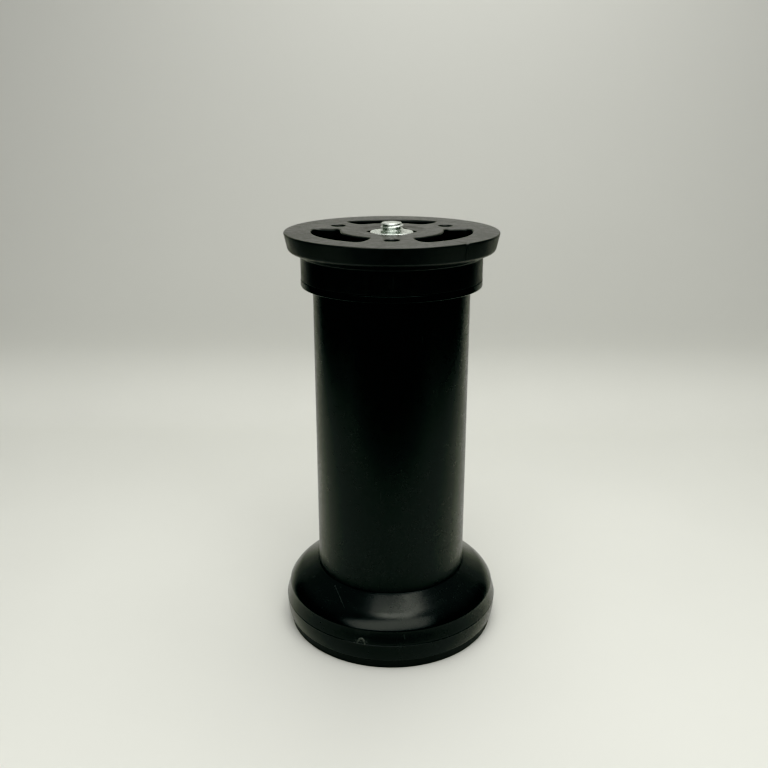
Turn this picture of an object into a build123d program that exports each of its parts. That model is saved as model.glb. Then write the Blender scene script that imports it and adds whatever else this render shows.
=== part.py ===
from build123d import *
import math
import os

# Plastic furniture foot. Millimetres, +Z up, origin on the floor at the centre
# of the base. Every turned piece shares the Z axis.

# ---------------------------------------------------------------- heights
plate_top_z = 149.7         # face that meets the furniture
flange_low_z = 144.4        # flange's side ends and rounds under
skirt_root_z = 141.69       # flange's underside meets the skirt
skirt_end_z = 133.4         # skirt stands on the head's shoulder
shoulder_end_z = 131.05     # underside of the shoulder, on the tube's end
tube_end_z = 6.9            # tube stands on the floor of the base's socket
flare_top_z = 23.8          # flare leaves the tube
flare_knee_z = 20.1
flare_end_z = 15.1          # flare's sharp outer corner
parting_z = 10.1            # widest line of the base, where its mould parted
pad_top_z = 3.6             # pad glued under the base

# ---------------------------------------------------------------- radii
plate_r = 37.3
rim_r = 0.45                # rounding of the rim's top edge
flange_low_r = 36.15
skirt_r = 31.7
skirt_in_r = 28.6
shoulder_r = 31.8
tube_r = 27.65
tube_in_r = 25.0
flare_r = 39.1
flare_knee_r = 34.3         # straight cone to here, rounded from here out
base_r = 40.3
base_low_r = 39.8
pad_r = 39.15
pad_low_r = 38.85

# ---------------------------------------------------------------- plate
web_t = 3.5                 # plate's web between skirt and pocket
slot_in_r = 18.0
slot_out_r = 27.7
slot_half_deg = 38.5        # half of the angle each slot spans
slot_corner_r = 2.6
slot_angles = (90.0, 210.0, 330.0)
screw_pcd = 44.0
screw_hole_r = 2.5
screw_angles = (30.0, 150.0, 270.0)
boss_r = 10.4               # boss under the web, around the nut
boss_end_z = 140.6
nick_deg = 310.0            # small dent in the rim, right of the front

# ---------------------------------------------------------------- M8 set
thread_r = 3.95             # bolt's outside
bore_r = 4.0                # nuts' bore
stud_end_z = 152.3
bolt_len = 25.0
head_af = 13.0
head_h = 5.3
nut_h = 6.5
collar_r = 7.5
collar_top_z = 149.25
collar_t = 1.5
pocket_af = 15.3            # hexagon round the collar
dish_r = 12.6               # shallow dish in the plate's middle
dish_floor_r = 9.5
dish_depth = 0.45
socket_af = 13.2            # hexagon round the nut's body
washer_r = 8.0
washer_in_r = 4.2
washer_t = 1.6

# ---------------------------------------------------------------- tube head
head_web_top_z = 131.4
recess_r = 26.0             # shallow recess under the plate
plug_in_r = 22.6
plug_end_z = 113.2
seat_r = 10.5
seat_end_z = 121.4

# ---------------------------------------------------------------- base
socket_r = 27.75            # socket's wall round the tube
socket_out_r = 30.2
base_spigot_r = 24.9
base_spigot_in_r = 22.3
base_spigot_top_z = 30.0
base_wall = 2.6
gate_deg = 255.0            # gate mark, a little left of the front
gate_r = 1.6

os.makedirs("parts", exist_ok=True)


def hex_corner(af):
    return af / math.sqrt(3.0)


def wedge(inner, outer, half_deg):
    """Corners of a radial-ended ring segment about +X."""
    c, s = math.cos(math.radians(half_deg)), math.sin(math.radians(half_deg))
    return (inner * c, inner * s), (outer * c, outer * s)


# ================================================================ plate
with BuildPart() as mounting_plate:
    with BuildSketch(Plane.XZ):
        with BuildLine():
            # top face, rounded rim, side tapering in, round under to the skirt
            Line((0, plate_top_z), (plate_r - rim_r, plate_top_z))
            ThreePointArc(
                (plate_r - rim_r, plate_top_z),
                (plate_r - 0.29 * rim_r, plate_top_z - 0.29 * rim_r),
                (plate_r, plate_top_z - rim_r),
            )
            Line((plate_r, plate_top_z - rim_r), (flange_low_r, flange_low_z))
            ThreePointArc(
                (flange_low_r, flange_low_z),
                (flange_low_r - 0.43, flange_low_z - 0.78),
                (flange_low_r - 1.24, flange_low_z - 1.26),
            )
            Line((flange_low_r - 1.24, flange_low_z - 1.26), (skirt_r + 0.5, skirt_root_z + 0.24))
            ThreePointArc(
                (skirt_r + 0.5, skirt_root_z + 0.24),
                (skirt_r + 0.13, skirt_root_z - 0.08),
                (skirt_r, skirt_root_z - 0.55),
            )
            Line((skirt_r, skirt_root_z - 0.55), (skirt_r, skirt_end_z + 0.4))
            ThreePointArc(
                (skirt_r, skirt_end_z + 0.4),
                (skirt_r - 0.12, skirt_end_z + 0.12),
                (skirt_r - 0.4, skirt_end_z),
            )
            Line((skirt_r - 0.4, skirt_end_z), (skirt_in_r, skirt_end_z))
            Line((skirt_in_r, skirt_end_z), (skirt_in_r, plate_top_z - web_t))
            Line((skirt_in_r, plate_top_z - web_t), (0, plate_top_z - web_t))
            Line((0, plate_top_z - web_t), (0, plate_top_z))
        make_face()
    revolve(axis=Axis.Z)
    # boss round the nut
    with BuildSketch(Plane.XY.offset(boss_end_z)):
        Circle(boss_r)
    extrude(amount=plate_top_z - web_t - boss_end_z + 0.5)
    # three curved slots with radial ends and rounded corners
    with BuildSketch(Plane.XY.offset(plate_top_z - web_t - 4.0)) as slot_sketch:
        for a in slot_angles:
            (ix, iy), (ox, oy) = wedge(slot_in_r, slot_out_r, slot_half_deg)
            with Locations(Rotation(0, 0, a)):
                with BuildLine(mode=Mode.PRIVATE) as slot_line:
                    ThreePointArc((ix, -iy), (slot_in_r, 0), (ix, iy))
                    Line((ix, iy), (ox, oy))
                    ThreePointArc((ox, oy), (slot_out_r, 0), (ox, -oy))
                    Line((ox, -oy), (ix, -iy))
                add(make_face(slot_line.edges(), mode=Mode.PRIVATE))
        fillet(slot_sketch.vertices(), radius=slot_corner_r)
    extrude(amount=web_t + 8.0, mode=Mode.SUBTRACT)
    # screw holes
    with BuildSketch(Plane.XY.offset(plate_top_z - web_t - 4.0)):
        with PolarLocations(screw_pcd / 2, 3, start_angle=screw_angles[0]):
            Circle(screw_hole_r)
    extrude(amount=web_t + 8.0, mode=Mode.SUBTRACT)
    # shallow dish that leaves the collar flush with its floor
    with BuildSketch(Plane.XZ):
        with BuildLine():
            Polyline(
                (0, plate_top_z - dish_depth),
                (dish_floor_r, plate_top_z - dish_depth),
                (dish_r, plate_top_z),
                (dish_r, plate_top_z + 1),
                (0, plate_top_z + 1),
                close=True,
            )
        make_face()
    revolve(axis=Axis.Z, mode=Mode.SUBTRACT)
    # hexagonal pocket for the collar, and the hexagon below it for the nut
    with BuildSketch(Plane.XY.offset(collar_top_z - collar_t)):
        RegularPolygon(radius=hex_corner(pocket_af), side_count=6, rotation=0)
    extrude(amount=5.0, mode=Mode.SUBTRACT)
    with BuildSketch(Plane.XY.offset(boss_end_z - 1.0)):
        RegularPolygon(radius=hex_corner(socket_af), side_count=6, rotation=0)
    extrude(amount=12.0, mode=Mode.SUBTRACT)
    # dent in the rim's top edge
    nick_out = 2.6 - 0.42
    with Locations(
        (
            (plate_r - 0.15 + nick_out * 0.8) * math.cos(math.radians(nick_deg)),
            (plate_r - 0.15 + nick_out * 0.8) * math.sin(math.radians(nick_deg)),
            plate_top_z - 0.15 + nick_out * 0.25,
        )
    ):
        Sphere(2.6, mode=Mode.SUBTRACT)
mounting_plate.part.label = "mounting_plate"

# ================================================================ nut in the plate
with BuildPart() as plate_nut:
    with BuildSketch(Plane.XZ):
        with BuildLine():
            Polyline(
                (0, collar_top_z),
                (collar_r - 0.2, collar_top_z),
                (collar_r, collar_top_z - 0.2),
                (collar_r, collar_top_z - collar_t),
                (0, collar_top_z - collar_t),
                close=True,
            )
        make_face()
    revolve(axis=Axis.Z)
    with BuildSketch(Plane.XY.offset(collar_top_z - collar_t - nut_h)):
        RegularPolygon(radius=hex_corner(head_af), side_count=6, rotation=0)
    extrude(amount=nut_h)
    # lead-in countersink at both ends of the bore
    with BuildSketch(Plane.XZ):
        with BuildLine():
            Polyline(
                (0, collar_top_z + 1),
                (bore_r + 0.3, collar_top_z + 1),
                (bore_r + 0.3, collar_top_z),
                (bore_r, collar_top_z - 0.3),
                (bore_r, collar_top_z - collar_t - nut_h + 0.3),
                (bore_r + 0.3, collar_top_z - collar_t - nut_h),
                (bore_r + 0.3, collar_top_z - collar_t - nut_h - 1),
                (0, collar_top_z - collar_t - nut_h - 1),
                close=True,
            )
        make_face()
    revolve(axis=Axis.Z, mode=Mode.SUBTRACT)
plate_nut.part.label = "plate_nut"

# ================================================================ head plugged into the tube
stud_seat_z = stud_end_z - bolt_len
with BuildPart() as tube_head:
    with BuildSketch(Plane.XZ):
        with BuildLine():
            Polyline((plug_in_r, plug_end_z), (tube_in_r - 0.5, plug_end_z), (tube_in_r - 0.05, plug_end_z + 1.2),
                     (tube_in_r - 0.05, shoulder_end_z), (shoulder_r - 0.5, shoulder_end_z))
            ThreePointArc(
                (shoulder_r - 0.5, shoulder_end_z),
                (shoulder_r - 0.146, shoulder_end_z + 0.146),
                (shoulder_r, shoulder_end_z + 0.5),
            )
            Polyline(
                (shoulder_r, shoulder_end_z + 0.5),
                (shoulder_r, skirt_end_z),
                (recess_r, skirt_end_z),
                (recess_r, head_web_top_z),
                (0, head_web_top_z),
                (0, stud_seat_z),
                (plug_in_r, stud_seat_z),
                (plug_in_r, plug_end_z),
            )
        make_face()
    revolve(axis=Axis.Z)
    # boss that holds the bolt's head
    with BuildSketch(Plane.XY.offset(seat_end_z)):
        Circle(seat_r)
    extrude(amount=stud_seat_z - seat_end_z + 0.5)
    with BuildSketch(Plane.XY.offset(seat_end_z - 1)):
        RegularPolygon(radius=hex_corner(socket_af), side_count=6, rotation=0)
    extrude(amount=stud_seat_z - seat_end_z + 1, mode=Mode.SUBTRACT)
    with BuildSketch(Plane.XY.offset(stud_seat_z - 1)):
        Circle(washer_in_r)
    extrude(amount=head_web_top_z - stud_seat_z + 2, mode=Mode.SUBTRACT)
tube_head.part.label = "tube_head"

# ================================================================ M8 bolt
with BuildPart() as stud_bolt:
    with BuildSketch(Plane.XY.offset(stud_seat_z - head_h)):
        RegularPolygon(radius=hex_corner(head_af), side_count=6, rotation=0)
    extrude(amount=head_h)
    # 30 degree corner chamfer on the head's end
    with BuildSketch(Plane.XZ):
        with BuildLine():
            Polyline(
                (head_af / 2 - 0.2, stud_seat_z - head_h),
                (head_af / 2 + 1.6, stud_seat_z - head_h + 1.8 * math.tan(math.radians(30))),
                (head_af / 2 + 1.6, stud_seat_z - head_h - 0.5),
                (head_af / 2 - 0.2, stud_seat_z - head_h - 0.5),
                close=True,
            )
        make_face()
    revolve(axis=Axis.Z, mode=Mode.SUBTRACT)
    with BuildSketch(Plane.XZ):
        with BuildLine():
            Polyline(
                (0, stud_seat_z - 0.1),
                (thread_r, stud_seat_z - 0.1),
                (thread_r, stud_end_z - 0.7),
                (thread_r - 0.7, stud_end_z),
                (0, stud_end_z),
                close=True,
            )
        make_face()
    revolve(axis=Axis.Z)
stud_bolt.part.label = "stud_bolt"

# ================================================================ washer and nut on the head
with BuildPart() as stud_washer:
    with BuildSketch(Plane.XZ):
        with BuildLine():
            Polyline(
                (washer_in_r, head_web_top_z),
                (washer_r, head_web_top_z),
                (washer_r, head_web_top_z + washer_t - 0.3),
                (washer_r - 0.3, head_web_top_z + washer_t),
                (washer_in_r, head_web_top_z + washer_t),
                close=True,
            )
        make_face()
    revolve(axis=Axis.Z)
stud_washer.part.label = "stud_washer"

nut_z = head_web_top_z + washer_t
with BuildPart() as stud_nut:
    with BuildSketch(Plane.XY.offset(nut_z)):
        RegularPolygon(radius=hex_corner(head_af), side_count=6, rotation=0)
        Circle(bore_r, mode=Mode.SUBTRACT)
    extrude(amount=nut_h)
    # corners turned off at both faces
    with BuildSketch(Plane.XZ):
        for face_z, sign in ((nut_z, 1.0), (nut_z + nut_h, -1.0)):
            with BuildLine(mode=Mode.PRIVATE) as corner_line:
                Polyline(
                    (head_af / 2 - 0.2, face_z),
                    (head_af / 2 + 1.6, face_z + sign * 1.8 * math.tan(math.radians(30))),
                    (head_af / 2 + 1.6, face_z - sign * 0.5),
                    (head_af / 2 - 0.2, face_z - sign * 0.5),
                    close=True,
                )
            add(make_face(corner_line.edges(), mode=Mode.PRIVATE))
    revolve(axis=Axis.Z, mode=Mode.SUBTRACT)
stud_nut.part.label = "stud_nut"

# ================================================================ tube
with BuildPart() as leg_tube:
    with BuildSketch(Plane.XY.offset(tube_end_z)):
        Circle(tube_r)
        Circle(tube_in_r, mode=Mode.SUBTRACT)
    extrude(amount=shoulder_end_z - tube_end_z)
leg_tube.part.label = "leg_tube"

# ================================================================ flared base
with BuildPart() as foot_base:
    with BuildSketch(Plane.XZ):
        with BuildLine():
            # socket's lip, conical flare with a rounded shoulder, upper band
            Line((socket_r, flare_top_z - 0.1), (socket_r + 0.35, flare_top_z - 0.15))
            Line((socket_r + 0.35, flare_top_z - 0.15), (flare_knee_r, flare_knee_z))
            ThreePointArc(
                (flare_knee_r, flare_knee_z),
                (flare_knee_r + 2.6, flare_knee_z - 1.9),
                (flare_r - 0.3, flare_end_z + 0.75),
            )
            ThreePointArc(
                (flare_r - 0.3, flare_end_z + 0.75),
                (flare_r - 0.03, flare_end_z + 0.2),
                (flare_r + 0.07, flare_end_z - 0.3),
            )
            # witness line of the mould, standing 0.08 proud
            Polyline(
                (flare_r + 0.07, flare_end_z - 0.3),
                (base_r - 0.04, parting_z + 0.16),
                (base_r + 0.08, parting_z),
                (base_r - 0.01, parting_z - 0.16),
            )
            # lower band, turning in towards the pad
            ThreePointArc(
                (base_r - 0.01, parting_z - 0.16),
                (base_r - 0.06, parting_z - 3.0),
                (base_low_r, pad_top_z + 0.35),
            )
            Polyline(
                (base_low_r, pad_top_z + 0.35),
                (base_low_r - 0.35, pad_top_z),
                (base_low_r - base_wall, pad_top_z),
                (flare_r - base_wall + 0.1, flare_end_z - 1.6),
                (socket_out_r, 18.8),
                (socket_out_r, pad_top_z),
                (0, pad_top_z),
                (0, tube_end_z),
                (base_spigot_in_r, tube_end_z),
                (base_spigot_in_r, base_spigot_top_z),
                (base_spigot_r - 0.7, base_spigot_top_z),
                (base_spigot_r, base_spigot_top_z - 1.5),
                (base_spigot_r, tube_end_z),
                (socket_r, tube_end_z),
                (socket_r, flare_top_z - 0.1),
            )
        make_face()
    revolve(axis=Axis.Z)
    # half-round gate mark standing on the parting line
    gate_plane = Plane(
        origin=(
            (base_r - 1.2) * math.cos(math.radians(gate_deg)),
            (base_r - 1.2) * math.sin(math.radians(gate_deg)),
            parting_z,
        ),
        x_dir=(-math.sin(math.radians(gate_deg)), math.cos(math.radians(gate_deg)), 0),
        z_dir=(math.cos(math.radians(gate_deg)), math.sin(math.radians(gate_deg)), 0),
    )
    with BuildSketch(gate_plane):
        with BuildLine():
            ThreePointArc((gate_r, 0), (0, gate_r * 1.15), (-gate_r, 0))
            Line((-gate_r, 0), (gate_r, 0))
        make_face()
    extrude(amount=1.25, taper=12)
foot_base.part.label = "foot_base"

# ================================================================ pad
with BuildPart() as floor_pad:
    with BuildSketch(Plane.XZ):
        with BuildLine():
            Line((0, 0), (pad_low_r - 0.6, 0))
            ThreePointArc(
                (pad_low_r - 0.6, 0), (pad_low_r - 0.17, 0.18), (pad_low_r, 0.6)
            )
            Polyline((pad_low_r, 0.6), (pad_r, pad_top_z), (0, pad_top_z), (0, 0))
        make_face()
    revolve(axis=Axis.Z)
floor_pad.part.label = "floor_pad"

for piece in (
    mounting_plate,
    plate_nut,
    tube_head,
    stud_bolt,
    stud_washer,
    stud_nut,
    leg_tube,
    foot_base,
    floor_pad,
):
    export_step(piece.part, f"parts/{piece.part.label}.step")
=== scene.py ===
import math
import random

import bpy
from mathutils import Matrix, Vector, geometry


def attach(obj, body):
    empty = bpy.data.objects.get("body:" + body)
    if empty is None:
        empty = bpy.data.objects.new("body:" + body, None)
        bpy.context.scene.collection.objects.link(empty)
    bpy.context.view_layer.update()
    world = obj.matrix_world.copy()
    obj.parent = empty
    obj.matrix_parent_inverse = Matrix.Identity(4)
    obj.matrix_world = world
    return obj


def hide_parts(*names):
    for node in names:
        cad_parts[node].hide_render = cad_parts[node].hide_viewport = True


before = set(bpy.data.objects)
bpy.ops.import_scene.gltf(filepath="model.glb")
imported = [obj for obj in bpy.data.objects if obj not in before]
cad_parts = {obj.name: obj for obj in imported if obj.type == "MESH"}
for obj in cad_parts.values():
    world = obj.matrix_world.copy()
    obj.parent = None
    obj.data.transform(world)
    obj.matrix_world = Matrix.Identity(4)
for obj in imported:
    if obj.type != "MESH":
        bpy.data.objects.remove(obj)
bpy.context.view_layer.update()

MM = 0.001
rnd = random.Random(7)

# ------------------------------------------------------------------ sizes, mm
PLATE_TOP = 149.7
PLATE_R = 37.3
RIM_R = 0.45
FLANGE_EDGE_R, FLANGE_EDGE_Z = 35.94, 143.66
SKIRT_R, SKIRT_IN_R = 31.7, 28.6
SKIRT_ROOT, SKIRT_END = 141.69, 133.4
WEB_LOW = 146.2
SLOT_IN, SLOT_OUT, SLOT_HALF, SLOT_CORNER = 18.0, 27.7, 38.5, 2.6
SCREW_R, SCREW_AT = 2.5, 22.0
NICK_DEG = 310.0
SHOULDER_R, SHOULDER_END = 31.8, 131.05
TUBE_R, TUBE_IN = 27.65, 25.0
TUBE_END = 6.9
THREAD_R, BORE_R = 3.95, 4.0
STUD_END = 152.3
STUD_SEAT = 127.3
COLLAR_R, COLLAR_TOP, COLLAR_T = 7.5, 149.25, 1.5
DISH_R, DISH_FLOOR_R, DISH = 12.6, 9.5, 0.45
HEAD_AF, HEAD_H, NUT_H = 13.0, 5.3, 6.5
POCKET_AF, SOCKET_AF = 15.3, 13.2
FLARE_TOP, FLARE_END, FLARE_R = 23.8, 15.1, 39.1
BASE_R, BASE_LOW_R, PARTING = 40.3, 39.8, 10.1
KNEE_R, KNEE_Z = 34.3, 20.1
PAD_TOP, PAD_R, PAD_LOW_R = 3.6, 39.15, 38.85
SOCKET_R = 27.70
GATE_DEG = 255.0


# ------------------------------------------------------------------ mesh helpers
def rounded(points, steps=6):
    """A polyline with its corners rounded: points are (r, z) or (r, z, fillet)."""
    out = []
    n = len(points)
    for i, p in enumerate(points):
        f = p[2] if len(p) > 2 else 0.0
        if f <= 0 or i in (0, n - 1):
            out.append((p[0], p[1]))
            continue
        a, b, c = Vector(points[i - 1][:2]), Vector(p[:2]), Vector(points[i + 1][:2])
        u, v = (a - b).normalized(), (c - b).normalized()
        ang = u.angle(v)
        t = f / math.tan(ang / 2)
        mid = (u + v).normalized()
        centre = b + mid * (f / math.sin(ang / 2))
        s, e = b + u * t - centre, b + v * t - centre
        sweep = math.pi - ang
        cross = s.x * e.y - s.y * e.x
        sign = 1 if cross > 0 else -1
        for k in range(steps + 1):
            q = s.copy()
            q.rotate(Matrix.Rotation(sign * sweep * k / steps, 2))
            q = centre + q
            out.append((q.x, q.y))
    return out


def angles(n, fine=()):
    """Even angles round the circle in degrees, finer near some directions."""
    out = [360.0 * i / n for i in range(n)]
    for centre, half, step in fine:
        out = [a for a in out if abs((a - centre + 180) % 360 - 180) > half + 0.2]
        k = int(round(2 * half / step))
        out += [(centre - half + 2 * half * i / k) % 360 for i in range(k + 1)]
    return sorted(out)


class Build:
    """Vertices and faces in millimetres, made into one object in metres."""

    def __init__(self):
        self.v, self.f = [], []

    def add(self, p):
        self.v.append(tuple(p))
        return len(self.v) - 1

    def ring(self, r, z, angs):
        if r < 1e-6:
            return [self.add((0, 0, z))]
        return [
            self.add((r * math.cos(math.radians(a)), r * math.sin(math.radians(a)), z))
            for a in angs
        ]

    def bridge(self, a, b):
        """Faces between two closed loops of the same count, or a loop and one point."""
        if len(a) == 1 and len(b) == 1:
            return
        n = max(len(a), len(b))
        for i in range(n):
            j = (i + 1) % n
            if len(a) == 1:
                self.f.append((a[0], b[j], b[i]))
            elif len(b) == 1:
                self.f.append((a[i], a[j], b[0]))
            else:
                self.f.append((a[i], a[j], b[j], b[i]))

    def lathe(self, prof, angs, close=True):
        rings = [self.ring(r, z, angs) for r, z in prof]
        for p, q in zip(rings, rings[1:]):
            self.bridge(p, q)
        if close:
            self.bridge(rings[-1], rings[0])
        return rings

    def prism(self, outline, z0, z1):
        lo = [self.add((x, y, z0)) for x, y in outline]
        hi = [self.add((x, y, z1)) for x, y in outline]
        self.bridge(lo, hi)
        self.f.append(tuple(reversed(lo)))
        self.f.append(tuple(hi))

    def box(self, centre_deg, r0, r1, half_w, z0, z1):
        c, s = math.cos(math.radians(centre_deg)), math.sin(math.radians(centre_deg))
        pts = [
            (r * c - w * s, r * s + w * c)
            for r, w in ((r0, -half_w), (r1, -half_w), (r1, half_w), (r0, half_w))
        ]
        self.prism(pts, z0, z1)

    def object(self, name, sharp=38.0, weighted=True):
        me = bpy.data.meshes.new(name)
        me.from_pydata([(x * MM, y * MM, z * MM) for x, y, z in self.v], [], self.f)
        me.validate()
        me.update()
        ob = bpy.data.objects.new(name, me)
        bpy.context.scene.collection.objects.link(ob)
        import bmesh

        bm = bmesh.new()
        bm.from_mesh(me)
        bmesh.ops.remove_doubles(bm, verts=bm.verts, dist=1e-7)
        bmesh.ops.recalc_face_normals(bm, faces=bm.faces)
        bm.to_mesh(me)
        bm.free()
        me.polygons.foreach_set("use_smooth", [True] * len(me.polygons))
        me.set_sharp_from_angle(angle=math.radians(sharp))
        if weighted:
            mod = ob.modifiers.new("Normals", "WEIGHTED_NORMAL")
            mod.keep_sharp = True
            mod.weight = 100
            mod.thresh = 0.001
        return ob


def corner_of(af):
    return af / math.sqrt(3.0)


# ------------------------------------------------------------------ outlines with normals into the material
def circle_outline(r, n, cx=0.0, cy=0.0):
    out = []
    for i in range(n):
        a = 2 * math.pi * i / n
        out.append((cx + r * math.cos(a), cy + r * math.sin(a), math.cos(a), math.sin(a)))
    return out


def hex_outline(af, fillet, steps=5):
    out = []
    inr = af / 2 - fillet
    for k in range(6):
        a = math.radians(60 * k)
        c = inr / math.cos(math.radians(30))
        cx, cy = c * math.cos(a), c * math.sin(a)
        for i in range(steps + 1):
            t = a + math.radians(-30 + 60 * i / steps)
            out.append((cx + fillet * math.cos(t), cy + fillet * math.sin(t), math.cos(t), math.sin(t)))
        # points along the flat after this corner
        nxt = math.radians(60 * (k + 1))
        t = a + math.radians(30)
        p0 = (cx + fillet * math.cos(t), cy + fillet * math.sin(t))
        p1 = (c * math.cos(nxt) + fillet * math.cos(t), c * math.sin(nxt) + fillet * math.sin(t))
        for i in range(1, 6):
            w = i / 6
            out.append((p0[0] * (1 - w) + p1[0] * w, p0[1] * (1 - w) + p1[1] * w, math.cos(t), math.sin(t)))
    return out


def slot_outline(mid_deg, step_deg=1.1):
    h = math.radians(SLOT_HALF)
    rho = SLOT_CORNER
    ro, ri = SLOT_OUT - rho, SLOT_IN + rho
    ao, ai = math.asin(rho / ro), math.asin(rho / ri)
    half = []

    def arc(cx, cy, r, t0, t1, n):
        for i in range(n + 1):
            t = t0 + (t1 - t0) * i / n
            half.append((cx + r * math.cos(t), cy + r * math.sin(t), math.cos(t), math.sin(t)))

    n = int(math.degrees(2 * (h - ao)) / step_deg)
    arc(0, 0, SLOT_OUT, -(h - ao), (h - ao), n)
    cx, cy = ro * math.cos(h - ao), ro * math.sin(h - ao)
    arc(cx, cy, rho, h - ao, h + math.pi / 2, 14)
    # radial end
    r0, r1 = ro * math.cos(ao), ri * math.cos(ai)
    for i in range(1, 6):
        r = r0 + (r1 - r0) * i / 6
        half.append((r * math.cos(h), r * math.sin(h), math.cos(h + math.pi / 2), math.sin(h + math.pi / 2)))
    cx, cy = ri * math.cos(h - ai), ri * math.sin(h - ai)
    arc(cx, cy, rho, h + math.pi / 2, h - ai + math.pi, 14)
    n = int(math.degrees(2 * (h - ai)) / (step_deg * 1.3))
    for i in range(n + 1):
        t = (h - ai) - 2 * (h - ai) * i / n
        half.append((SLOT_IN * math.cos(t), SLOT_IN * math.sin(t), -math.cos(t), -math.sin(t)))
    cx, cy = ri * math.cos(h - ai), -ri * math.sin(h - ai)
    arc(cx, cy, rho, math.pi - (h - ai), 3 * math.pi / 2 - h, 14)
    for i in range(1, 6):
        r = r1 + (r0 - r1) * i / 6
        half.append((r * math.cos(h), -r * math.sin(h), math.cos(-h - math.pi / 2), math.sin(-h - math.pi / 2)))
    cx, cy = ro * math.cos(h - ao), -ro * math.sin(h - ao)
    arc(cx, cy, rho, -h - math.pi / 2, -(h - ao), 14)
    m = math.radians(mid_deg)
    c, s = math.cos(m), math.sin(m)
    pts = []
    for x, y, nx, ny in half:
        q = (x * c - y * s, x * s + y * c, nx * c - ny * s, nx * s + ny * c)
        if pts and math.hypot(pts[-1][0] - q[0], pts[-1][1] - q[1]) < 1e-4:
            continue
        pts.append(q)
    if math.hypot(pts[0][0] - pts[-1][0], pts[0][1] - pts[-1][1]) < 1e-4:
        pts.pop()
    return pts


def inside(p, loop):
    x, y = p
    hit = False
    for i in range(len(loop)):
        x0, y0 = loop[i][:2]
        x1, y1 = loop[i - 1][:2]
        if (y0 > y) != (y1 > y) and x < (x1 - x0) * (y - y0) / (y1 - y0) + x0:
            hit = not hit
    return hit


def fill_with_holes(b, outer, holes, z, up=True):
    """Triangles over outer minus holes at height z. outer and holes are loops of vertex indices."""
    loops = [outer] + holes
    pts, idx, edges = [], [], []
    for loop in loops:
        s = len(pts)
        for i in loop:
            pts.append(Vector(b.v[i][:2]))
            idx.append(i)
        edges += [(s + k, s + (k + 1) % len(loop)) for k in range(len(loop))]
    hole_pts = [[b.v[i][:2] for i in h] for h in holes]
    outer_pts = [b.v[i][:2] for i in outer]
    vs, es, fs, ov, oe, of_ = geometry.delaunay_2d_cdt(pts, edges, [], 0, 1e-6)
    ids = []
    for k, src in enumerate(ov):
        ids.append(idx[src[0]] if src else b.add((vs[k].x, vs[k].y, z)))
    for f in fs:
        c = (sum(vs[i].x for i in f) / 3, sum(vs[i].y for i in f) / 3)
        if not inside(c, outer_pts) or any(inside(c, h) for h in hole_pts):
            continue
        b.f.append(tuple(ids[i] for i in f) if up else tuple(ids[i] for i in reversed(f)))


def hole_wall(b, outline, rho, z_top, z_low, steps=5, low_rho=0.0):
    """Rounded top edge and wall of a hole. Returns (top loop, bottom loop)."""
    loops = []
    for k in range(steps + 1):
        t = math.pi / 2 * k / steps
        off = rho * (1 - math.sin(t))
        z = z_top - rho * (1 - math.cos(t))
        loops.append([b.add((x + nx * off, y + ny * off, z)) for x, y, nx, ny in outline])
    loops.append([b.add((x, y, z_top - rho - 0.25)) for x, y, nx, ny in outline])
    loops.append([b.add((x, y, z_low)) for x, y, nx, ny in outline])
    for p, q in zip(loops, loops[1:]):
        b.bridge(p, q)
    return loops[0], loops[-1]


# ------------------------------------------------------------------ mounting plate
b = Build()
angs = angles(400, fine=[(NICK_DEG, 4.0, 0.16)])
seam_r = 30.2
outer_top = b.ring(seam_r, PLATE_TOP, angs)
prof = rounded(
    [
        (seam_r, PLATE_TOP),
        (34.6, PLATE_TOP),
        (PLATE_R, PLATE_TOP, RIM_R),
        (FLANGE_EDGE_R, FLANGE_EDGE_Z, 1.4),
        (SKIRT_R, SKIRT_ROOT, 0.7),
        (SKIRT_R, SKIRT_END, 0.38),
        (SKIRT_IN_R, SKIRT_END, 0.2),
        (SKIRT_IN_R, WEB_LOW - 0.0, 0.0),
    ],
    7,
)
rings = [outer_top]
for r, z in prof[1:]:
    rings.append(b.ring(r, z, angs))
for p, q in zip(rings, rings[1:]):
    b.bridge(p, q)
web_edge = rings[-1]
# dent pushed into the rim's top edge
nd = math.radians(NICK_DEG)
nick = Vector((PLATE_R * math.cos(nd), PLATE_R * math.sin(nd), PLATE_TOP - 0.1))
for loop in rings[1:]:
    for i in loop:
        p = Vector(b.v[i])
        d = p - nick
        along = d.x * -math.sin(nd) + d.y * math.cos(nd)
        down = -d.z
        if abs(along) < 1.6 and down < 2.6 and d.length < 3.4:
            half = 0.85 * max(0.05, 1 - max(down, 0) / 1.9)
            w = max(0.0, 1 - abs(along) / half) if down < 1.85 else 0.0
            push = 0.30 * w * max(0.0, 1 - max(down, 0) / 1.9)
            b.v[i] = (p.x - math.cos(nd) * push, p.y - math.sin(nd) * push, p.z - 0.16 * w * (1 if down < 0.5 else 0))
holes_top, holes_low = [], []
for a in (90.0, 210.0, 330.0):
    t, l = hole_wall(b, slot_outline(a), 0.8, PLATE_TOP, WEB_LOW, steps=8)
    holes_top.append(t)
    holes_low.append(l)
for a in (30.0, 150.0, 270.0):
    cx, cy = SCREW_AT * math.cos(math.radians(a)), SCREW_AT * math.sin(math.radians(a))
    t, l = hole_wall(b, circle_outline(SCREW_R, 56, cx, cy), 0.5, PLATE_TOP, WEB_LOW, steps=6)
    holes_top.append(t)
    holes_low.append(l)
pocket_floor = COLLAR_TOP - COLLAR_T
t, hex_low = hole_wall(b, hex_outline(POCKET_AF, 0.35), 0.12, PLATE_TOP - DISH, pocket_floor, steps=3)
a180 = angles(180)
dish = []
for k in range(9):
    u = k / 8
    dish.append(b.ring(DISH_R + (DISH_FLOOR_R - DISH_R) * u, PLATE_TOP - DISH * (3 * u * u - 2 * u ** 3), a180))
for p, q in zip(dish, dish[1:]):
    b.bridge(p, q)
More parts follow.
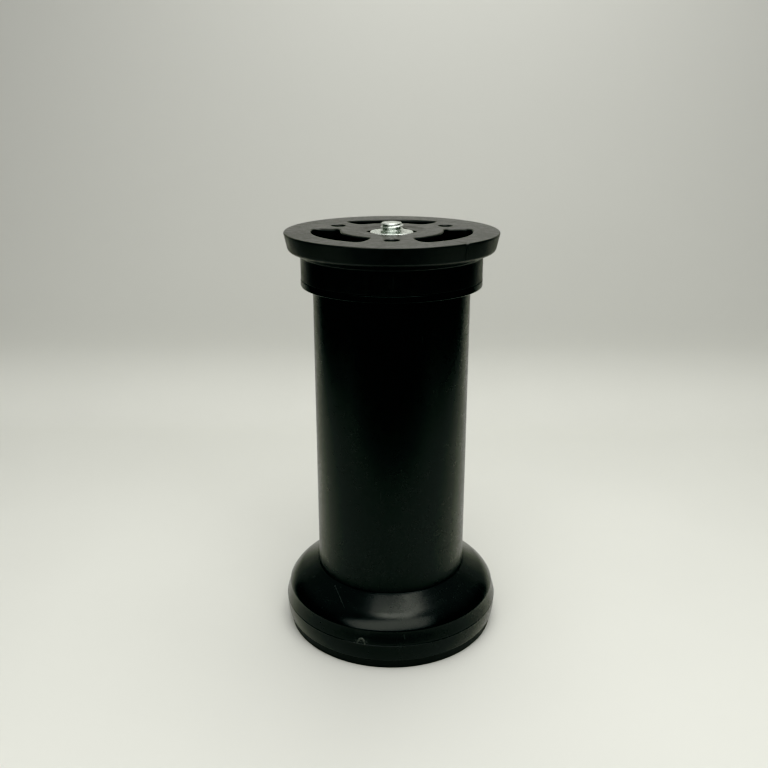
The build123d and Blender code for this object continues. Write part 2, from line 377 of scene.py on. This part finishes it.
fill_with_holes(b, outer_top, holes_top + [dish[0]], PLATE_TOP)
fill_with_holes(b, dish[-1], [t], PLATE_TOP - DISH)
# ledge under the collar, the nut's hexagon and the boss round it
sock = [(x, y) for x, y, nx, ny in hex_outline(SOCKET_AF, 0.2)]
sock_top = [b.add((x, y, pocket_floor)) for x, y in sock]
sock_low = [b.add((x, y, 140.6)) for x, y in sock]
b.bridge(hex_low, sock_top)
b.bridge(sock_top, sock_low)
boss_n = circle_outline(10.4, 96)
boss_top = [b.add((x, y, WEB_LOW)) for x, y, nx, ny in boss_n]
boss_mid = [b.add((x, y, 140.9)) for x, y, nx, ny in boss_n]
boss_low = [b.add((x * 10.1 / 10.4, y * 10.1 / 10.4, 140.6)) for x, y, nx, ny in boss_n]
b.bridge(boss_top, boss_mid)
b.bridge(boss_mid, boss_low)
fill_with_holes(b, boss_low, [sock_low], 140.6, up=False)
fill_with_holes(b, web_edge, holes_low + [boss_top], WEB_LOW, up=False)
plate = b.object("Mounting_plate")
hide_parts("mounting_plate")

# ------------------------------------------------------------------ nut with the round collar
b = Build()
a96 = angles(144)
prof = rounded(
    [
        (BORE_R, COLLAR_TOP - 0.75),
        (BORE_R + 0.02, COLLAR_TOP - 0.42, 0.1),
        (BORE_R + 0.42, COLLAR_TOP, 0.1),
        (COLLAR_R - 0.2, COLLAR_TOP, 0.08),
        (COLLAR_R, COLLAR_TOP - 0.2, 0.08),
        (COLLAR_R, COLLAR_TOP - COLLAR_T, 0.1),
        (5.6, COLLAR_TOP - COLLAR_T),
        (BORE_R, COLLAR_TOP - COLLAR_T),
    ],
    4,
)
b.lathe(prof, a96)
nut_low = COLLAR_TOP - COLLAR_T - NUT_H
hx = [(x, y) for x, y, nx, ny in hex_outline(HEAD_AF, 0.25)]
hx_top = [b.add((x, y, COLLAR_TOP - COLLAR_T)) for x, y in hx]
hx_mid = [b.add((x, y, nut_low + 0.5)) for x, y in hx]
hx_low = [b.add((x * 0.965, y * 0.965, nut_low)) for x, y in hx]
b.bridge(hx_top, hx_mid)
b.bridge(hx_mid, hx_low)
bore_top = [b.add((x, y, COLLAR_TOP - COLLAR_T)) for x, y, nx, ny in circle_outline(BORE_R, 96)]
bore_low = [b.add((x, y, nut_low + 0.3)) for x, y, nx, ny in circle_outline(BORE_R, 96)]
bore_lip = [b.add((x, y, nut_low)) for x, y, nx, ny in circle_outline(BORE_R + 0.3, 96)]
b.bridge(bore_top, bore_low)
b.bridge(bore_low, bore_lip)
fill_with_holes(b, hx_low, [bore_lip], nut_low, up=False)
nut = b.object("Plate_nut", sharp=30)
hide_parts("plate_nut")


# ------------------------------------------------------------------ bolt with its rolled thread
def thread_radius(phase):
    """M8 coarse profile: phase 0 to 1 across one pitch."""
    p = phase % 1.0
    root, crest = THREAD_R - 0.70, THREAD_R
    d = abs(p - 0.5) * 2.0      # 0 in the middle of the crest, 1 in the root
    if d < 0.14:
        return crest - 0.02 * (d / 0.14) ** 2
    if d > 0.80:
        return root + 0.03 * ((1 - d) / 0.2)
    t = (d - 0.14) / 0.66
    return crest - 0.02 - (crest - 0.02 - root - 0.03) * t


b = Build()
pitch = 1.25
n_around, per = 96, 16
thread_low = STUD_SEAT + 1.2
turns = (STUD_END - thread_low) / pitch
rows = int(turns * per)
loops = []
# head, washer face and plain neck
head = [(x, y) for x, y, nx, ny in hex_outline(HEAD_AF, 0.25)]
h_low = [b.add((x * 0.955, y * 0.955, STUD_SEAT - HEAD_H)) for x, y in head]
h_mid = [b.add((x, y, STUD_SEAT - HEAD_H + 0.6)) for x, y in head]
h_top = [b.add((x, y, STUD_SEAT)) for x, y in head]
b.bridge(h_low, h_mid)
b.bridge(h_mid, h_top)
centre = b.add((0, 0, STUD_SEAT - HEAD_H))
b.bridge([centre], h_low)
neck0 = b.ring(THREAD_R - 0.1, STUD_SEAT, angles(n_around))
neck1 = b.ring(THREAD_R - 0.1, thread_low - 0.3, angles(n_around))
fill_with_holes(b, h_top, [neck0], STUD_SEAT)
b.bridge(neck0, neck1)
prev = neck1
START = 62.0
for k in range(rows + 1):
    z = thread_low + (STUD_END - thread_low) * k / rows
    loop = []
    for i in range(n_around):
        a = 360.0 * i / n_around
        r = thread_radius((z - thread_low) / pitch - (a - START) / 360.0)
        # runs out at the neck, and ends in a chamfer at the tip
        fade = min(1.0, (z - thread_low) / 1.0)
        r = THREAD_R - 0.1 + (r - THREAD_R + 0.1) * fade
        tip = THREAD_R - 0.62 + (STUD_END - z) * 1.05
        r = min(r, tip)
        loop.append(b.add((r * math.cos(math.radians(a)), r * math.sin(math.radians(a)), z)))
    b.bridge(prev, loop)
    prev = loop
rim = [Vector(b.v[i]) for i in prev]
inner = [b.add((p.x * 0.90, p.y * 0.90, STUD_END)) for p in rim]
b.bridge(prev, inner)
dish = [b.add((p.x * 0.45, p.y * 0.45, STUD_END - 0.05)) for p in rim]
b.bridge(inner, dish)
b.bridge(dish, [b.add((0, 0, STUD_END - 0.08))])
bolt = b.object("Stud_bolt", sharp=40, weighted=False)
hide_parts("stud_bolt")

# ------------------------------------------------------------------ head plugged into the tube
b = Build()
angs = angles(360)
prof = rounded(
    [
        (22.6, 113.2),
        (TUBE_IN - 0.05, 113.2, 0.8),
        (TUBE_IN - 0.05, SHOULDER_END),
        (SHOULDER_R, SHOULDER_END, 0.4),
        (SHOULDER_R, SKIRT_END, 0.3),
        (26.0, SKIRT_END, 0.2),
        (26.0, 131.4, 0.4),
        (4.2, 131.4),
        (4.2, STUD_SEAT),
        (22.6, STUD_SEAT, 0.5),
    ],
    6,
)
b.lathe(prof, angs)
# boss with its hexagonal seat
seat = [(x, y) for x, y, nx, ny in hex_outline(SOCKET_AF, 0.2)]
s_top = [b.add((x, y, STUD_SEAT)) for x, y in seat]
s_low = [b.add((x, y, 121.4)) for x, y in seat]
b.bridge(s_top, s_low)
bo = circle_outline(10.5, 96)
b_top = [b.add((x, y, STUD_SEAT + 0.2)) for x, y, nx, ny in bo]
b_low = [b.add((x, y, 121.4)) for x, y, nx, ny in bo]
b.bridge(b_top, b_low)
fill_with_holes(b, b_low, [s_low], 121.4, up=False)
head_piece = b.object("Tube_head")
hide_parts("tube_head")

# ------------------------------------------------------------------ tube
b = Build()
prof = rounded(
    [
        (TUBE_R, 60.0),
        (TUBE_R, SHOULDER_END, 0.22),
        (TUBE_IN, SHOULDER_END, 0.15),
        (TUBE_IN, TUBE_END, 0.15),
        (TUBE_R, TUBE_END, 0.22),
        (TUBE_R, 20.0),
    ],
    4,
)
b.lathe(prof, angles(400))
tube = b.object("Leg_tube")
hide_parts("leg_tube")

# ------------------------------------------------------------------ flared base
b = Build()
angs = angles(400, fine=[(GATE_DEG, 4.0, 0.12)])


def arc3(p, q, r, n):
    """Points along the circle through p, q, r, from p to r."""
    ax, ay, bx, by, cx, cy = *p, *q, *r
    d = 2 * (ax * (by - cy) + bx * (cy - ay) + cx * (ay - by))
    ux = ((ax * ax + ay * ay) * (by - cy) + (bx * bx + by * by) * (cy - ay) + (cx * cx + cy * cy) * (ay - by)) / d
    uy = ((ax * ax + ay * ay) * (cx - bx) + (bx * bx + by * by) * (ax - cx) + (cx * cx + cy * cy) * (bx - ax)) / d
    t0, t1 = math.atan2(ay - uy, ax - ux), math.atan2(cy - uy, cx - ux)
    rad = math.hypot(ax - ux, ay - uy)
    return [(ux + rad * math.cos(t0 + (t1 - t0) * k / n), uy + rad * math.sin(t0 + (t1 - t0) * k / n)) for k in range(n + 1)]


p0 = (SOCKET_R + 0.20, FLARE_TOP - 0.06)
flare = [(p0[0] + (KNEE_R - p0[0]) * k / 8, p0[1] + (KNEE_Z - p0[1]) * k / 8) for k in range(8)]
flare += arc3((KNEE_R, KNEE_Z), (KNEE_R + 2.6, KNEE_Z - 1.9), (FLARE_R - 0.12, FLARE_END + 0.36), 16)
lip = [(SOCKET_R, FLARE_TOP - 0.20), (SOCKET_R + 0.02, FLARE_TOP - 0.08), (SOCKET_R + 0.09, FLARE_TOP - 0.02)]
edge = [(FLARE_R - 0.04, FLARE_END + 0.20), (FLARE_R + 0.01, FLARE_END + 0.02), (FLARE_R + 0.045, FLARE_END - 0.16), (FLARE_R + 0.07, FLARE_END - 0.34)]
side = [
    (FLARE_R + 0.10, FLARE_END - 0.55),
    (FLARE_R + 0.55, FLARE_END - 2.4),
    (BASE_R - 0.12, PARTING + 0.9),
    (BASE_R - 0.05, PARTING + 0.30),
    (BASE_R - 0.02, PARTING + 0.14),
    (BASE_R + 0.05, PARTING + 0.06),
    (BASE_R + 0.08, PARTING + 0.0),
    (BASE_R + 0.06, PARTING - 0.06),
    (BASE_R - 0.01, PARTING - 0.14),
    (BASE_R - 0.03, PARTING - 0.30),
    (BASE_R - 0.02, PARTING - 1.2),
    (BASE_R - 0.04, PARTING - 2.2),
    (BASE_R - 0.09, PARTING - 3.2),
    (BASE_R - 0.20, PARTING - 4.3),
    (BASE_R - 0.36, PARTING - 5.2),
    (BASE_LOW_R + 0.03, PAD_TOP + 0.62),
    (BASE_LOW_R - 0.04, PAD_TOP + 0.38),
    (BASE_LOW_R - 0.16, PAD_TOP + 0.16),
    (BASE_LOW_R - 0.38, PAD_TOP + 0.03),
    (BASE_LOW_R - 0.6, PAD_TOP),
]
inner = [
    (BASE_LOW_R - 2.6, PAD_TOP),
    (FLARE_R - 2.5, FLARE_END - 1.6),
    (30.2, 18.8),
    (30.2, PAD_TOP),
    (0.0, PAD_TOP),
]
rings = b.lathe(lip + flare + edge + side + inner, angs, close=False)
cup = rounded([(0.0, 6.9), (22.3, 6.9, 0.6), (22.3, 30.0, 0.2), (24.9, 30.0, 0.7), (24.9, 6.9), (SOCKET_R, 6.9), (SOCKET_R, FLARE_TOP - 0.20)], 4)
cup_rings = [b.ring(r, z, angs) for r, z in cup[:-1]] + [rings[0]]
for p, q in zip(cup_rings, cup_rings[1:]):
    b.bridge(p, q)
# raised rim of the gate mark, an arch standing on the parting line
gd = math.radians(GATE_DEG)
gc, gs = math.cos(gd), math.sin(gd)


def on_band(u, w):
    """Point on the band's face: u mm round from the gate mark, w mm above the parting line."""
    r = BASE_R - (BASE_R - FLARE_R - 0.07) * w / (FLARE_END - 0.3 - PARTING)
    a = gd + u / r
    return r, a


arch, arch_w, arch_h, tube_w, proud = [], 1.40, 1.95, 0.40, 0.34
n_arch, n_sec = 30, 8
for k in range(n_arch + 1):
    t = math.pi * k / n_arch
    u, w = arch_w * math.cos(t), arch_h * math.sin(t)
    nx, nw = math.cos(t) / arch_w, math.sin(t) / arch_h
    ln = math.hypot(nx, nw)
    nx, nw = nx / ln, nw / ln
    loop = []
    for j in range(n_sec):
        s = 2 * math.pi * j / n_sec
        du, dr = math.cos(s) * tube_w, math.sin(s) * proud
        r, a = on_band(u + nx * du, w + nw * du)
        r += dr
        loop.append(b.add((r * math.cos(a), r * math.sin(a), PARTING + w + nw * du)))
    arch.append(loop)
for p, q in zip(arch, arch[1:]):
    b.bridge(p, q)
b.f.append(tuple(arch[0]))
b.f.append(tuple(reversed(arch[-1])))
base = b.object("Foot_base", sharp=42)
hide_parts("foot_base")

# ------------------------------------------------------------------ pad
b = Build()
prof = rounded(
    [
        (0.0, 0.0),
        (30.0, 0.0),
        (PAD_LOW_R, 0.0, 0.6),
        (PAD_R, PAD_TOP, 0.12),
        (30.0, PAD_TOP),
        (0.0, PAD_TOP),
    ],
    6,
)
b.lathe(prof, angles(360), close=False)
pad = b.object("Floor_pad")
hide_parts("floor_pad")


# ------------------------------------------------------------------ materials
class Nodes:
    def __init__(self, name):
        self.mat = bpy.data.materials.new(name)
        self.mat.use_nodes = True
        self.t = self.mat.node_tree
        self.t.nodes.clear()
        self.out = self.t.nodes.new("ShaderNodeOutputMaterial")
        self.bsdf = self.t.nodes.new("ShaderNodeBsdfPrincipled")
        self.t.links.new(self.bsdf.outputs[0], self.out.inputs[0])
        self.coord = self.t.nodes.new("ShaderNodeTexCoord")

    def set(self, **kw):
        for k, v in kw.items():
            self.bsdf.inputs[k.replace("_", " ")].default_value = v
        return self

    def link(self, a, b):
        self.t.links.new(a, b)

    def mapping(self, scale=(1, 1, 1), loc=(0, 0, 0), rot=(0, 0, 0), src=None):
        n = self.t.nodes.new("ShaderNodeMapping")
        n.inputs["Scale"].default_value = scale
        n.inputs["Location"].default_value = loc
        n.inputs["Rotation"].default_value = rot
        self.link(src or self.coord.outputs["Object"], n.inputs["Vector"])
        return n.outputs[0]

    def noise(self, scale, vec=None, detail=2.0, rough=0.5, distortion=0.0):
        n = self.t.nodes.new("ShaderNodeTexNoise")
        n.inputs["Scale"].default_value = scale
        n.inputs["Detail"].default_value = detail
        n.inputs["Roughness"].default_value = rough
        n.inputs["Distortion"].default_value = distortion
        self.link(vec or self.coord.outputs["Object"], n.inputs["Vector"])
        return n.outputs["Fac"]

    def voronoi(self, scale, vec=None, feature="F1", rnd_=1.0):
        n = self.t.nodes.new("ShaderNodeTexVoronoi")
        n.feature = feature
        n.inputs["Scale"].default_value = scale
        n.inputs["Randomness"].default_value = rnd_
        self.link(vec or self.coord.outputs["Object"], n.inputs["Vector"])
        return n.outputs["Distance"]

    def ramp(self, src, lo, hi, to_lo=0.0, to_hi=1.0, smooth=True):
        n = self.t.nodes.new("ShaderNodeMapRange")
        n.interpolation_type = "SMOOTHSTEP" if smooth else "LINEAR"
        n.inputs["From Min"].default_value = lo
        n.inputs["From Max"].default_value = hi
        n.inputs["To Min"].default_value = to_lo
        n.inputs["To Max"].default_value = to_hi
        self.link(src, n.inputs["Value"])
        return n.outputs[0]

    def math(self, op, a, b_=None, clamp=False):
        n = self.t.nodes.new("ShaderNodeMath")
        n.operation = op
        n.use_clamp = clamp
        for k, v in enumerate((a, b_)):
            if v is None:
                continue
            if isinstance(v, (int, float)):
                n.inputs[k].default_value = v
            else:
                self.link(v, n.inputs[k])
        return n.outputs[0]

    def sep(self, vec=None):
        n = self.t.nodes.new("ShaderNodeSeparateXYZ")
        self.link(vec or self.coord.outputs["Object"], n.inputs[0])
        return n.outputs

    def mix(self, fac, a, b_):
        n = self.t.nodes.new("ShaderNodeMix")
        n.data_type = "RGBA"
        if isinstance(fac, (int, float)):
            n.inputs[0].default_value = fac
        else:
            self.link(fac, n.inputs[0])
        for sock, v in ((n.inputs[6], a), (n.inputs[7], b_)):
            if isinstance(v, tuple):
                sock.default_value = (*v, 1.0) if len(v) == 3 else v
            else:
                self.link(v, sock)
        return n.outputs[2]

    def bump(self, height, strength, distance, normal=None):
        n = self.t.nodes.new("ShaderNodeBump")
        n.inputs["Strength"].default_value = strength
        n.inputs["Distance"].default_value = distance
        self.link(height, n.inputs["Height"])
        if normal is not None:
            self.link(normal, n.inputs["Normal"])
        return n.outputs[0]


def plastic(name, dark, light, rough_lo, rough_hi, grain, grain_h, spec=0.5, scuffs=0.0, waves=0.0, scratch=None, gate=None):
    m = Nodes(name)
    fine = m.noise(grain, detail=3.0, rough=0.6)
    mid = m.noise(420.0, detail=4.0, rough=0.55)
    broad = m.noise(38.0, detail=3.0)
    col = m.mix(m.ramp(mid, 0.35, 0.7), dark, light)
    rough = m.ramp(m.math("ADD", m.math("MULTIPLY", mid, 0.6), m.math("MULTIPLY", broad, 0.4)), 0.35, 0.65, rough_lo, rough_hi)
    nrm = m.bump(fine, 1.0, grain_h)
    if waves:
        nrm = m.bump(broad, 1.0, waves, nrm)
    # faint rubbed marks and hairlines
    hair_vec = m.mapping(scale=(1.0, 1.0, 0.12), rot=(0.3, 0.5, 0.2))
    hair = m.ramp(m.noise(900.0, hair_vec, detail=1.0), 0.70, 0.76)
    patch = m.ramp(m.noise(70.0, detail=2.0), 0.52, 0.66)
    mark = m.math("MULTIPLY", hair, patch)
    if scuffs:
        x, y, z = m.sep()
        band = m.math(
            "MULTIPLY",
            m.ramp(z, 0.026, 0.032),
            m.ramp(z, 0.052, 0.044),
        )
        speck = m.ramp(m.noise(2600.0, m.mapping(scale=(1.0, 1.0, 0.6)), detail=2.0), 0.52, 0.68)
        mark = m.math("MAXIMUM", mark, m.math("MULTIPLY", m.math("MULTIPLY", speck, band), scuffs))
    rough = m.math("ADD", rough, m.math("MULTIPLY", mark, 0.14), clamp=True)
    col = m.mix(m.math("MULTIPLY", mark, 0.35), col, (0.05, 0.052, 0.05))
    if scratch:
        # one light scratch with a speck at its upper end
        (ax, ay), (bx, by) = scratch
        ln = math.hypot(bx - ax, by - ay)
        dx, dy = (bx - ax) / ln, (by - ay) / ln
        x, y, z = m.sep()
        px, py = m.math("SUBTRACT", x, ax), m.math("SUBTRACT", y, ay)
        off = m.math("ABSOLUTE", m.math("ADD", m.math("MULTIPLY", px, -dy), m.math("MULTIPLY", py, dx)))
        along = m.math("ADD", m.math("MULTIPLY", px, dx), m.math("MULTIPLY", py, dy))
        line = m.math("MULTIPLY", m.ramp(off, 0.00020, 0.00006), m.math("MULTIPLY", m.ramp(along, -0.0004, 0.0004), m.ramp(along, ln, ln * 0.7)))
        line = m.math("MULTIPLY", line, m.ramp(m.noise(1300.0, detail=1.0), 0.35, 0.6, 0.35, 1.0))
        spot = m.ramp(m.math("SQRT", m.math("ADD", m.math("MULTIPLY", px, px), m.math("MULTIPLY", py, py))), 0.00042, 0.00020)
        cut = m.math("MAXIMUM", line, spot)
        col = m.mix(m.math("MULTIPLY", cut, 0.55), col, (0.075, 0.080, 0.076))
        rough = m.math("ADD", rough, m.math("MULTIPLY", cut, 0.15), clamp=True)
    if gate:
        # the torn, paler plastic of the gate mark's raised rim
        cx_, cy_, cz_, r_ = gate
        x, y, z = m.sep()
        dx_, dy_, dz_ = m.math("SUBTRACT", x, cx_), m.math("SUBTRACT", y, cy_), m.math("SUBTRACT", z, cz_)
        d2 = m.math("ADD", m.math("ADD", m.math("MULTIPLY", dx_, dx_), m.math("MULTIPLY", dy_, dy_)), m.math("MULTIPLY", dz_, dz_))
        near = m.ramp(m.math("SQRT", d2), r_, r_ * 0.9)
        ring = m.math("SQRT", m.math("ADD", m.math("MULTIPLY", x, x), m.math("MULTIPLY", y, y)))
        ring = m.math("ADD", ring, m.math("MULTIPLY", m.math("SUBTRACT", z, 0.0101), 0.24))
        torn = m.math("MULTIPLY", near, m.ramp(ring, 0.04034, 0.04044))
        torn = m.math("MULTIPLY", torn, m.ramp(m.noise(1600.0, detail=2.0), 0.30, 0.62, 0.45, 1.0))
        col = m.mix(torn, col, (0.062, 0.066, 0.062))
        rough = m.math("ADD", rough, m.math("MULTIPLY", torn, 0.2), clamp=True)
    # pale dust that settled here and there
    dust = m.ramp(m.voronoi(330.0), 0.055, 0.02)
    dust = m.math("MULTIPLY", dust, m.ramp(m.noise(55.0, m.mapping(loc=(3.1, 1.7, 0.4)), detail=1.0), 0.58, 0.64))
    col = m.mix(m.math("MULTIPLY", dust, 0.5), col, (0.22, 0.22, 0.20))
    m.link(col, m.bsdf.inputs["Base Color"])
    m.link(rough, m.bsdf.inputs["Roughness"])
    m.link(nrm, m.bsdf.inputs["Normal"])
    m.set(IOR=1.5)
    m.bsdf.inputs["Specular IOR Level"].default_value = spec
    return m


plate_mat = plastic("Plate plastic", (0.0100, 0.0103, 0.0096), (0.0130, 0.0134, 0.0126), 0.30, 0.40, 5200.0, 0.000020)
leg_mat = plastic("Leg plastic", (0.0016, 0.0046, 0.0034), (0.0028, 0.0068, 0.0052), 0.26, 0.34, 3600.0, 0.000007, scuffs=0.5, waves=0.00006)
base_mat = plastic("Base plastic", (0.0018, 0.0034, 0.0030), (0.0030, 0.0052, 0.0046), 0.22, 0.28, 3600.0, 0.000009, waves=0.00005,
                   scratch=((-0.02047, -0.02148), (-0.01632, -0.03161)), gate=(-0.0104, -0.0389, 0.0112, 0.0024))
pad_mat = plastic("Pad rubber", (0.0035, 0.0036, 0.0033), (0.0065, 0.0066, 0.0060), 0.42, 0.55, 2600.0, 0.000025)

m = Nodes("Zinc")
cloud = m.noise(900.0, detail=4.0, rough=0.6)
brush = m.noise(2600.0, m.mapping(scale=(1.0, 1.0, 0.2)), detail=2.0)
col = m.mix(m.ramp(cloud, 0.3, 0.7), (0.62, 0.67, 0.63), (0.82, 0.86, 0.81))
x, y, z = m.sep()
rad = m.math("SQRT", m.math("ADD", m.math("MULTIPLY", x, x), m.math("MULTIPLY", y, y)))
# painted shade: the thread's grooves below the tip are painted a darker green-grey, standing in for the shade in the
# thread roots
root = m.math("MULTIPLY", m.ramp(rad, 0.00375, 0.0033), m.ramp(z, 0.1523, 0.15205))
col = m.mix(m.math("MULTIPLY", root, 0.35), col, (0.20, 0.25, 0.22))
m.link(col, m.bsdf.inputs["Base Color"])
m.link(m.ramp(m.math("ADD", m.math("MULTIPLY", cloud, 0.5), m.math("MULTIPLY", brush, 0.5)), 0.35, 0.65, 0.20, 0.36), m.bsdf.inputs["Roughness"])
m.link(m.bump(m.math("ADD", brush, cloud), 0.6, 0.00001), m.bsdf.inputs["Normal"])
m.set(Metallic=1.0)
zinc_mat = m

for ob, mt in (
    (plate, plate_mat),
    (head_piece, leg_mat),
    (tube, leg_mat),
    (base, base_mat),
    (pad, pad_mat),
    (nut, zinc_mat),
    (bolt, zinc_mat),
):
    ob.data.materials.clear()
    ob.data.materials.append(mt.mat)
    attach(ob, "root")

for name in ("stud_washer", "stud_nut"):
    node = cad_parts[name]
    node.data.materials.clear()
    node.data.materials.append(zinc_mat.mat)

# ------------------------------------------------------------------ stage
b = Build()
prof = []
front, fold, rad_ = -200.0, 190.0, 48.0
ys = [front, -150, -100, -50, 0, 60, 120, fold]
path = [(y, 0.0) for y in ys]
n = 24
cy = fold
for k in range(1, n + 1):
    t = math.radians(84) * k / n
    path.append((cy + rad_ * math.sin(t), rad_ * (1 - math.cos(t))))
last = path[-1]
lean = math.radians(84)
for k in range(1, 7):
    d = 75.0 * k
    path.append((last[0] + d * math.cos(lean), last[1] + d * math.sin(lean)))
left, right = -340.0, 340.0
cols = [left + (right - left) * i / 12 for i in range(13)]
grid = [[b.add((x, y, z)) for x in cols] for y, z in path]
for p, q in zip(grid, grid[1:]):
    for i in range(len(cols) - 1):
        b.f.append((p[i], p[i + 1], q[i + 1], q[i]))
sweep = b.object("Paper_sweep", weighted=False)
m = Nodes("Paper")
fib = m.noise(700.0, detail=5.0, rough=0.65)
soft = m.noise(9.0, detail=2.0)
paper_tone_and_painted_shade = m.mix(m.ramp(soft, 0.3, 0.7), (0.782, 0.790, 0.742), (0.800, 0.808, 0.760))
# painted shade: the standing part of the sweep is painted a little greyer than the floor, standing in for the light
# falling off up the wall
paper_tone_and_painted_shade = m.mix(m.ramp(m.sep()[2], 0.004, 0.060), paper_tone_and_painted_shade, (0.668, 0.674, 0.638))
m.link(paper_tone_and_painted_shade, m.bsdf.inputs["Base Color"])
m.link(m.ramp(fib, 0.3, 0.7, 0.75, 0.9), m.bsdf.inputs["Roughness"])
m.link(m.bump(fib, 0.35, 0.00006), m.bsdf.inputs["Normal"])
m.bsdf.inputs["Specular IOR Level"].default_value = 0.2
sweep.data.materials.append(m.mat)

# ------------------------------------------------------------------ light
def area(name, loc, turn, size, size_y, power, color=(1, 1, 1)):
    # turned about its own middle first, then tilted
    l = bpy.data.lights.new(name, "AREA")
    l.shape = "RECTANGLE"
    l.size, l.size_y = size, size_y
    l.energy = power
    l.color = color
    o = bpy.data.objects.new(name, l)
    bpy.context.scene.collection.objects.link(o)
    o.location = loc
    o.rotation_mode = "ZXY"
    o.rotation_euler = tuple(math.radians(a) for a in turn)
    return o


area("Overhead softbox", (0.034, 0.09, 0.46), (0.0, 0.0, 0.0), 0.25, 0.62, 1.38, (1.0, 0.998, 0.965))
area("Front softbox", (-0.045, -0.495, 0.405), (45.0, 0.0, 12.0), 1.03, 0.43, 2.60, (1.0, 0.998, 0.965))

world = bpy.data.worlds.new("Room")
bpy.context.scene.world = world
world.use_nodes = True
wt = world.node_tree
bg = wt.nodes["Background"]
tc = wt.nodes.new("ShaderNodeTexCoord")
sp = wt.nodes.new("ShaderNodeSeparateXYZ")
wt.links.new(tc.outputs["Generated"], sp.inputs[0])
up = wt.nodes.new("ShaderNodeMapRange")
up.interpolation_type = "SMOOTHSTEP"
up.inputs["From Min"].default_value = 0.08
up.inputs["From Max"].default_value = 0.75
wt.links.new(sp.outputs[2], up.inputs["Value"])
mx = wt.nodes.new("ShaderNodeMix")
mx.data_type = "RGBA"
# darker towards the camera's side of the room
front_dim = wt.nodes.new("ShaderNodeMapRange")
front_dim.interpolation_type = "SMOOTHSTEP"
front_dim.inputs["From Min"].default_value = -0.75
front_dim.inputs["From Max"].default_value = 0.0
front_dim.inputs["To Min"].default_value = 0.15
front_dim.inputs["To Max"].default_value = 1.0
wt.links.new(sp.outputs[1], front_dim.inputs["Value"])
both = wt.nodes.new("ShaderNodeMath")
both.operation = "MULTIPLY"
wt.links.new(up.outputs[0], both.inputs[0])
wt.links.new(front_dim.outputs[0], both.inputs[1])
wt.links.new(both.outputs[0], mx.inputs[0])
mx.inputs[6].default_value = (0.030, 0.030, 0.028, 1.0)
mx.inputs[7].default_value = (0.47, 0.467, 0.453, 1.0)
wt.links.new(mx.outputs[2], bg.inputs[0])
bg.inputs[1].default_value = 1.0

# ------------------------------------------------------------------ camera
cam_data = bpy.data.cameras.new("Camera")
cam = bpy.data.objects.new("Camera", cam_data)
bpy.context.scene.collection.objects.link(cam)
cam_data.lens = 40.92
cam_data.sensor_width = 36.0
cam_data.clip_start = 0.01
cam_data.clip_end = 20.0
cam.location = (0.0, -0.30216, 0.19409)
cam.rotation_mode = "XYZ"
cam.rotation_euler = (math.radians(90.0 - 18.362), 0.0, math.radians(0.505))
bpy.context.scene.camera = cam

vs = bpy.context.scene.view_settings
vs.view_transform = "Standard"
vs.look = "None"
vs.exposure = 0.0
vs.gamma = 1.0
# the picture's contrast: a toe that lets the deepest blacks close up
vs.use_curve_mapping = True
tone = vs.curve_mapping
tone.use_clip = False
toe = (
    ((0.0145, 0.00015), (0.0252, 0.0011), (0.0437, 0.0076), (0.070, 0.0285), (0.1046, 0.0690)),
    ((0.0145, 0.00030), (0.0252, 0.0021), (0.0437, 0.0100), (0.070, 0.0312), (0.1046, 0.0735)),
    ((0.0145, 0.00030), (0.0252, 0.0021), (0.0437, 0.0098), (0.070, 0.0290), (0.1046, 0.0668)),
)
for tone_curve, low in zip(tone.curves[:3], toe):
    tone_curve.points[0].location = (0.0, 0.0)
    tone_curve.points[1].location = (1.0, 1.0)
    for x_, y_ in low + ((0.150, 0.127), (0.20, 0.188), (0.30, 0.298)):
        tone_curve.points.new(x_, y_)
    for pt in tone_curve.points:
        pt.handle_type = "VECTOR"
tone.update()
